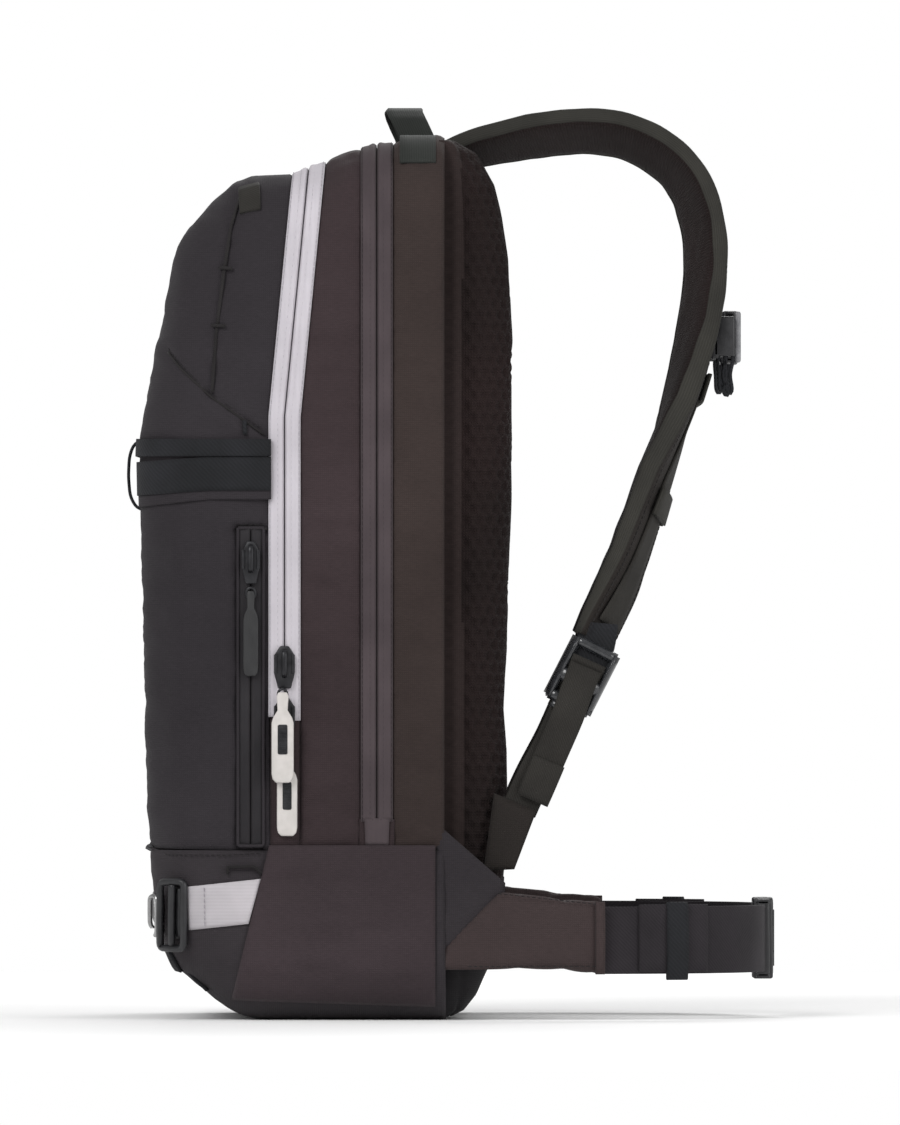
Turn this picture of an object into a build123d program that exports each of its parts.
"""Ski backpack: a clamshell pack with two zips over the top, a padded back, a shoulder harness and a hip belt.

Frame: +Z up, +Y towards the wearer, +X to the wearer's right. The origin is on the ground at the middle of the
flat base. Units are millimetres. Each piece is written to parts/NAME.step.
"""

import os

from build123d import *

os.makedirs("parts", exist_ok=True)

# ---------------------------------------------------------------- driving dimensions
HALF_WIDTH = 140.0  # side face of the pack, from the middle plane
EDGE_RADIUS = 42.0  # rounding between the side faces and the front, top and base
WALL = 3.0  # padded fabric wall
BACK_Y = 62.0  # plane where the body ends and the back pad begins
BASE_TOP = 96.0  # seam at the top of the reinforced base
FOLD_Z = 170.0  # line where the front compartment folds open
FRONT_SEAM_Y = -28.0  # seam between the front and the gusset, under the main zip
GAP = 0.4  # clearance between pieces on different bodies
FAR = 600.0  # larger than the pack, for cutting regions

ZIP_BAND = 17.0  # visible width of the main zip
ZIP_FRONT = -36.5  # front edge of the main zip on its straight run
ZIP_PROUD = 1.2  # zip tapes stand this far off the walls
ZIP_DEPTH = 0.8  # and reach this far into them
REAR_ZIP_FRONT = 15.5  # the rear zip runs straight up the side
REAR_ZIP_BAND = 17.0
REAR_ZIP_END_Z = 112.0
POCKET_ZIP = (-53.0, -41.0)  # the side pocket's zip, front and rear edge
POCKET_ZIP_Z = (100.0, 276.0)

WEBBING = 1.6  # webbing thickness
BELT_WEB = 38.0  # hip belt webbing width
LOCK_X = 121.0  # plane of the lower shoulder webbing

# Side outline of the body as (y, z, corner radius); the two back corners are beyond BACK_Y.
SIDE_OUTLINE = [
    (115, 0, 0),
    (115, 506, 0),
    (16, 492, 40),
    (-22, 477, 50),
    (-54, 473, 30),
    (-90, 436, 60),
    (-112, 330, 150),
    (-107, 92, 80),
    (-100, 40, 40),
    (-52, 0, 40),
]


def keep(builder, name):
    """Label a finished piece and write its file."""
    builder.part.label = name
    export_step(builder.part, f"parts/{name}.step")


def keep_pair(builder, name):
    """Write a right-hand piece and its mirror image on the left."""
    keep(builder, f"{name}_right")
    with BuildPart() as other:
        add(mirror(builder.part, about=Plane.YZ))
    keep(other, f"{name}_left")


# ---------------------------------------------------------------- shared construction
def body_solid(grow):
    """The pack's outer form, grown outward by a distance and ended at the back plane."""
    with BuildPart() as body:
        with BuildSketch(Plane.YZ) as outline:
            with BuildLine():
                Polyline(*[(y, z) for y, z, _ in SIDE_OUTLINE], close=True)
            make_face()
            for y, z, radius in SIDE_OUTLINE:
                if radius:
                    fillet(outline.vertices().sort_by_distance((y, z, 0))[0], radius)
            offset(amount=grow, kind=Kind.INTERSECTION)
        extrude(amount=HALF_WIDTH + grow, both=True)
        fillet(body.faces().filter_by(Axis.X).edges(), EDGE_RADIUS + grow)
        split(bisect_by=Plane.XZ.offset(-BACK_Y), keep=Keep.TOP)
    return body.part


def shell(outward, inward):
    """The skin of the pack's form, from one distance outside its surface to one inside it."""
    with BuildPart() as skin:
        add(body_solid(outward))
        add(body_solid(-inward), mode=Mode.SUBTRACT)
    return skin.part


def side_prism(points, x_from=-FAR, x_to=FAR):
    """A side-view polygon of (y, z) points, swept across the pack."""
    with BuildPart() as prism:
        with BuildSketch(Plane.YZ.offset(x_from)):
            with BuildLine():
                Polyline(*points, close=True)
            make_face()
        extrude(amount=x_to - x_from)
    return prism.part


def front_prism(points, y_from=-FAR, y_to=FAR):
    """A front-view polygon of (x, z) points, swept through the depth of the pack."""
    with BuildPart() as prism:
        with BuildSketch(Plane.XZ.offset(-y_from)):
            with BuildLine():
                Polyline(*points, close=True)
            make_face()
        extrude(amount=y_from - y_to)
    return prism.part


def panel(skin, side_points, front_points=None):
    """The stretch of a skin inside a side-view polygon and, if given, a front-view polygon."""
    with BuildPart() as piece:
        add(skin)
        add(side_prism(side_points), mode=Mode.INTERSECT)
        if front_points:
            add(front_prism(front_points), mode=Mode.INTERSECT)
    return piece


def side_band(path, thickness, front_points):
    """A band with a side-view centreline of (y, z) points, trimmed by a front-view polygon of (x, z) points."""
    with BuildPart() as band:
        with BuildSketch(Plane.YZ.offset(-FAR)):
            with BuildLine():
                Spline(*path)
            trace(line_width=thickness)
        extrude(amount=2 * FAR)
        add(front_prism(front_points), mode=Mode.INTERSECT)
    return band


def plan_band(path, thickness, side_points):
    """A standing band with a plan-view centreline of (x, y) points, trimmed by a side-view polygon."""
    with BuildPart() as band:
        with BuildSketch(Plane.XY):
            with BuildLine():
                Spline(*path)
            trace(line_width=thickness)
        extrude(amount=FAR)
        add(side_prism(side_points), mode=Mode.INTERSECT)
    return band


def box(x, y, z, rounding=0.0):
    """A block between (low, high) pairs, with its edges rounded."""
    middle = tuple(sum(pair) / 2 for pair in (x, y, z))
    size = [pair[1] - pair[0] for pair in (x, y, z)]
    with BuildPart() as block:
        with Locations(middle):
            Box(*size)
        if rounding:
            fillet(block.edges(), rounding)
    return block


def main_zip_edge(shift):
    """The main zip's front edge in the side view, moved towards the wearer by a distance."""
    return [
        (ZIP_FRONT + shift, FOLD_Z + GAP),
        (ZIP_FRONT + shift, 340),
        (-23 + shift, 478),
        (-17 + shift, 560),
    ]


def strip(edge, width):
    """The side-view polygon between an edge line and the same line moved towards the wearer."""
    return edge + [(y + width, z) for y, z in reversed(edge)]


wall = shell(0, WALL)
tape_skin = shell(ZIP_PROUD, ZIP_DEPTH)
strap_skin = shell(WEBBING + 0.1, -0.1)
inside = body_solid(-WALL)
ZIP_REAR_EDGE = main_zip_edge(ZIP_BAND)

# ---------------------------------------------------------------- fabric body
base_tub = panel(wall, [(-FAR, -9), (BACK_Y, -9), (BACK_Y, BASE_TOP), (-FAR, BASE_TOP)])
keep(base_tub, "base_tub")

lower_front = panel(
    wall, [(-FAR, BASE_TOP), (FRONT_SEAM_Y, BASE_TOP), (FRONT_SEAM_Y, FOLD_Z), (-FAR, FOLD_Z)]
)
keep(lower_front, "lower_front")

middle_gusset = panel(
    wall,
    [(FRONT_SEAM_Y, BASE_TOP), (REAR_ZIP_FRONT, BASE_TOP), (REAR_ZIP_FRONT, 560)]
    + list(reversed(ZIP_REAR_EDGE))
    + [(FRONT_SEAM_Y, FOLD_Z + GAP)],
)
keep(middle_gusset, "middle_gusset")

REAR_ZIP_BACK = REAR_ZIP_FRONT + REAR_ZIP_BAND
rear_gusset = panel(
    wall,
    [
        (REAR_ZIP_FRONT, BASE_TOP),
        (BACK_Y, BASE_TOP),
        (BACK_Y, 560),
        (REAR_ZIP_BACK, 560),
        (REAR_ZIP_BACK, REAR_ZIP_END_Z),
        (REAR_ZIP_FRONT, REAR_ZIP_END_Z),
    ],
)
keep(rear_gusset, "rear_gusset")

front_shell = panel(wall, [(-FAR, FOLD_Z + GAP)] + main_zip_edge(0) + [(-FAR, 560)])
keep(front_shell, "front_shell")

# The divider closes the front compartment just ahead of the main zip.
divider_edge = [(y - 5, z) for y, z in main_zip_edge(0)]
divider = panel(inside, strip(divider_edge, 2))
keep(divider, "divider")

# The frame sheet stiffens the back from inside, and its stay lies in a sleeve on it.
SHEET_Y = (BACK_Y - 2.0, BACK_Y)
back_sheet = panel(
    inside, [(SHEET_Y[0], -9), (SHEET_Y[1], -9), (SHEET_Y[1], 560), (SHEET_Y[0], 560)]
)
keep(back_sheet, "back_sheet")
stay = box((-12.5, 12.5), (SHEET_Y[0] - 3, SHEET_Y[0]), (40, 460))
keep(stay, "frame_stay")

# ---------------------------------------------------------------- zips
HALF_TAPE = ZIP_BAND / 2 - GAP / 2
zip_rear_half = panel(tape_skin, strip(main_zip_edge(ZIP_BAND / 2 + GAP / 2), HALF_TAPE))
keep(zip_rear_half, "main_zip_rear_tape")
zip_front_half = panel(tape_skin, strip(main_zip_edge(0), HALF_TAPE))
keep(zip_front_half, "main_zip_front_tape")

rear_edge = [(REAR_ZIP_FRONT, REAR_ZIP_END_Z), (REAR_ZIP_FRONT, 560)]
keep(panel(tape_skin, strip(rear_edge, REAR_ZIP_BAND)), "rear_zip_tape")

TAPE_X = (HALF_WIDTH, HALF_WIDTH + ZIP_PROUD)
pocket_upper = box(TAPE_X, POCKET_ZIP, (FOLD_Z + GAP, POCKET_ZIP_Z[1]))
keep(pocket_upper, "pocket_zip_upper_tape")
pocket_lower = box(TAPE_X, POCKET_ZIP, (POCKET_ZIP_Z[0], FOLD_Z))
keep(pocket_lower, "pocket_zip_lower_tape")

SLIDER_X = HALF_WIDTH + ZIP_PROUD + GAP  # underside of a slider on the right-hand side
SLIDER_THICK = 2.6
BRIDGE_THICK = 1.8


def slider(middle_y, z_low, length, width):
    """A zip slider on the right-hand side: a tapered body with a bridge that holds its pull."""
    with BuildPart() as body:
        with BuildSketch(Plane.YZ.offset(SLIDER_X)):
            with Locations((middle_y, z_low + length / 2)):
                Trapezoid(width, length, 82)
        extrude(amount=SLIDER_THICK)
        fillet(body.edges().filter_by(Axis.X), 1.2)
        with BuildSketch(Plane.YZ.offset(SLIDER_X + SLIDER_THICK)):
            with Locations((middle_y, z_low + length * 0.55)):
                SlotOverall(length * 0.7, width * 0.3, rotation=90)
        extrude(amount=BRIDGE_THICK)
    return body


def pull_tab(middle_y, z_low, z_high, width, x_low, thickness):
    """A flat pull tab that hangs from its top edge, with rounded ends and a cord slot."""
    length = z_high - z_low
    with BuildPart() as tab:
        with BuildSketch(Plane.YZ.offset(x_low)) as face:
            with Locations((middle_y, (z_low + z_high) / 2)):
                Rectangle(width, length)
            fillet(face.vertices(), width * 0.35)
        extrude(amount=thickness)
        fillet(tab.edges().filter_by(Axis.X, reverse=True), thickness * 0.3)
    return tab


ZIP_MIDDLE = ZIP_FRONT + ZIP_BAND / 2
LOW_PULL_X = SLIDER_X + 0.4
HIGH_PULL_X = SLIDER_X + SLIDER_THICK + BRIDGE_THICK + 0.8
keep(slider(ZIP_MIDDLE, 158, 24, 12), "zip_slider_low")
keep(slider(ZIP_MIDDLE, 187, 24, 12), "zip_slider_high")
keep(pull_tab(ZIP_MIDDLE, 104, 155, 11, LOW_PULL_X, 2.4), "zip_pull_low")
keep(pull_tab(ZIP_MIDDLE, 134, 189, 12, HIGH_PULL_X, 2.6), "zip_pull_high")

POCKET_MIDDLE = sum(POCKET_ZIP) / 2
keep(slider(POCKET_MIDDLE, 246, 24, 10), "pocket_slider")
keep(pull_tab(POCKET_MIDDLE, 194, 245, 8.5, LOW_PULL_X, 2), "pocket_pull")

REAR_MIDDLE = REAR_ZIP_FRONT + REAR_ZIP_BAND / 2
for piece, name in (
    (slider(REAR_MIDDLE, 124, 24, 10), "rear_slider"),
    (pull_tab(REAR_MIDDLE, 74, 123, 8.5, LOW_PULL_X, 2), "rear_pull"),
):
    with BuildPart() as far_side:
        add(mirror(piece.part, about=Plane.YZ))
    keep(far_side, name)

# ---------------------------------------------------------------- ski carry
STRAP_END_Y = ZIP_FRONT - 1
for name, low, high in (("ski_strap_lower_band", 299, 316), ("ski_strap_upper_band", 317.5, 328)):
    wrap = panel(strap_skin, [(-FAR, low), (STRAP_END_Y, low), (STRAP_END_Y, high), (-FAR, high)])
    keep(wrap, name)

front_loop = side_band(
    [(-114.5, 324), (-118, 318), (-119.5, 306), (-118, 294), (-114, 288)],
    WEBBING,
    [(-10, 270), (10, 270), (10, 340), (-10, 340)],
)
keep(front_loop, "front_loop")

TAB_FRONT = [(96, 440), (130, 440), (130, 480), (96, 480)]
top_tab = panel(strap_skin, [(-54, 452), (-41, 452), (-41, 480), (-54, 480)], TAB_FRONT)
keep(top_tab, "top_tab")

RIGHT_HALF = [(60, -9), (FAR, -9), (FAR, 560), (60, 560)]
lower_ski_strap = panel(strap_skin, [(-80, 50), (-49, 54), (-43, 79), (-80, 75)], RIGHT_HALF)
keep_pair(lower_ski_strap, "ski_lower_strap")
ski_buckle = panel(shell(5, -0.1), [(-94.6, 41), (-80.4, 41), (-80.4, 80), (-94.6, 80)], RIGHT_HALF)
keep_pair(ski_buckle, "ski_buckle")
OUTER_EDGE = [(100, -9), (FAR, -9), (FAR, 560), (100, 560)]
ski_hook = panel(shell(4, -1), [(-102, 47), (-96.2, 47), (-96.2, 72), (-102, 72)], OUTER_EDGE)
keep_pair(ski_hook, "ski_hook")

haul_loop_path = [(-32, 499), (-27, 511), (0, 517.5), (27, 511), (32, 499)]
with BuildPart() as haul_loop:
    with BuildSketch(Plane.XZ.offset(-37)):
        with BuildLine():
            Spline(*haul_loop_path)
        trace(line_width=2.4)
    extrude(amount=-20)
keep(haul_loop, "haul_loop")

# ---------------------------------------------------------------- back pad and hip belt
PAD_HALF_WIDTH = 115.0
PAD_OUTLINE = [
    (BACK_Y, 1.5), (74, 10), (86, 32), (97, 110), (95, 175),
    (101, 385), (95, 460), (80, 489), (BACK_Y, 497),
]
with BuildPart() as back_pad:
    with BuildSketch(Plane.YZ) as pad_outline:
        with BuildLine():
            Polyline(*PAD_OUTLINE, close=True)
        make_face()
        fillet(pad_outline.vertices().filter_by(lambda v: v.X > BACK_Y + 1), 16)
    extrude(amount=PAD_HALF_WIDTH, both=True)
    pad_sides = back_pad.faces().filter_by(Axis.X)
    fillet(pad_sides.edges().filter_by(lambda e: e.center().Y > BACK_Y + 1), 7)
keep(back_pad, "back_pad")

hip_gusset = side_prism([(BACK_Y + 0.1, 108), (93, 77), (93, 72), (BACK_Y + 0.1, 45)], 124.2, 126.2)
with BuildPart() as gusset:
    add(hip_gusset)
keep_pair(gusset, "hip_gusset")

WING_SIDE = [(BACK_Y + 0.1, 43), (93, 76), (151, 68), (151, 26), (BACK_Y + 0.1, 29)]
hip_wing = plan_band([(133.6, 55), (134.6, 90), (132.6, 125), (125, 156)], 14, WING_SIDE)
keep_pair(hip_wing, "hip_wing")

BELT_Z = (26.0, 26.0 + BELT_WEB)
BUCKLE_FRONT = 243.0  # plane of the closed buckle, in front of the wearer
BELT_SIDE = [(151.2, BELT_Z[0]), (FAR, BELT_Z[0]), (FAR, BELT_Z[1]), (151.2, BELT_Z[1])]
belt_path = [(126.6, 150), (114, 190), (84, 226), (48, 240.5), (31, BUCKLE_FRONT)]
keep_pair(plan_band(belt_path, WEBBING, BELT_SIDE), "hip_webbing")

KEEPER_SIDE = [(186, 22), (197, 22), (197, 68), (186, 68)]
outer_path = [(130.4, 152), (117.3, 192), (86, 229), (49, 244.3)]
keep_pair(plan_band(outer_path, 1.4, KEEPER_SIDE), "hip_keeper")


def buckle_pair(middle_y, z_low, height, half_length, thickness, tongue, name):
    """A closed side-release buckle across x = 0: the socket half on the left, the tongue half on the right."""
    z = (z_low, z_low + height)
    y = (middle_y - thickness / 2, middle_y + thickness / 2)
    slot_y = (middle_y - tongue / 2 - 0.4, middle_y + tongue / 2 + 0.4)
    margin = height * 0.13
    reach = half_length * 0.72
    with BuildPart() as socket:
        add(box((-half_length, 1), y, z, thickness * 0.3).part)
        add(box((-reach - 1, 2), slot_y, (z[0] + margin, z[1] - margin)).part, mode=Mode.SUBTRACT)
    keep(socket, f"{name}_socket")
    with BuildPart() as plug:
        add(box((1 + GAP, half_length), y, z, thickness * 0.3).part)
        prong_y = (middle_y - tongue / 2, middle_y + tongue / 2)
        prong_height = height * 0.16
        for low in (z[0] + margin + 0.5, z[1] - margin - 0.5 - prong_height):
            add(box((-reach, 2 + GAP), prong_y, (low, low + prong_height)).part)
    keep(plug, f"{name}_plug")


buckle_pair(BUCKLE_FRONT, 22, 46, 30, 12, 3, "hip_buckle")

# ---------------------------------------------------------------- shoulder harness
STRAP_PATH = [
    (86, 501), (115, 500), (149, 500), (180, 489), (200, 468), (206, 440),
    (205, 410), (196, 362), (184, 320), (170, 280), (151, 229),
]
STRAP_FRONT = [
    (18, 520), (78, 520), (92, 480), (112, 400), (122, 320), (125, 216),
    (98, 216), (70, 320), (52, 400), (32, 480),
]
keep_pair(side_band(STRAP_PATH, 17, STRAP_FRONT), "shoulder_strap")

LOCK_PLANE = Plane(origin=(LOCK_X - 3, 140, 194), x_dir=(0, 0.89, -0.456), z_dir=(1, 0, 0))
with BuildPart() as lock:
    with BuildSketch(LOCK_PLANE) as lock_face:
        RectangleRounded(30, 40, 4)
        with Locations((0, -9), (0, 1), (0, 12)):
            SlotOverall(25.6, 3.6, mode=Mode.SUBTRACT)
    extrude(amount=6)
keep_pair(lock, "ladder_lock")

WEB_TOP = (131, 172.5)
WEB_FOOT = (106, 122)
WEB_ACROSS = (11.2, -5.6)
web_side = [
    (WEB_TOP[0] - WEB_ACROSS[0], WEB_TOP[1] - WEB_ACROSS[1]),
    (WEB_TOP[0] + WEB_ACROSS[0], WEB_TOP[1] + WEB_ACROSS[1]),
    (WEB_FOOT[0] + WEB_ACROSS[0], WEB_FOOT[1] + WEB_ACROSS[1]),
    (WEB_FOOT[0] - WEB_ACROSS[0], WEB_FOOT[1] - WEB_ACROSS[1]),
]
with BuildPart() as lower_webbing:
    add(side_prism(web_side, LOCK_X - WEBBING / 2, LOCK_X + WEBBING / 2))
keep_pair(lower_webbing, "lower_webbing")

anchor_side = [(94.8, 127.4), (117.2, 116.2), (108, 84), (BACK_Y + 0.1, 84), (BACK_Y + 0.1, 104)]
with BuildPart() as anchor:
    add(side_prism(anchor_side, LOCK_X - 2.4, LOCK_X + 2.4))
keep_pair(anchor, "strap_anchor")

# ---------------------------------------------------------------- sternum strap
CLIP_Z = 386.0  # height of the chest strap
STERNUM_Y = 224.5  # plane of its webbing
clip = box((72, 92), (STERNUM_Y - 11.5, STERNUM_Y + 1.8), (CLIP_Z - 13, CLIP_Z + 13), 2)
keep_pair(clip, "sternum_clip")
sternum_web = box((20.2, 71.8), (STERNUM_Y - 0.8, STERNUM_Y + 0.8), (CLIP_Z - 10, CLIP_Z + 10))
keep_pair(sternum_web, "sternum_webbing")
buckle_pair(STERNUM_Y, CLIP_Z - 15, 30, 20, 9, 2.6, "sternum_buckle")
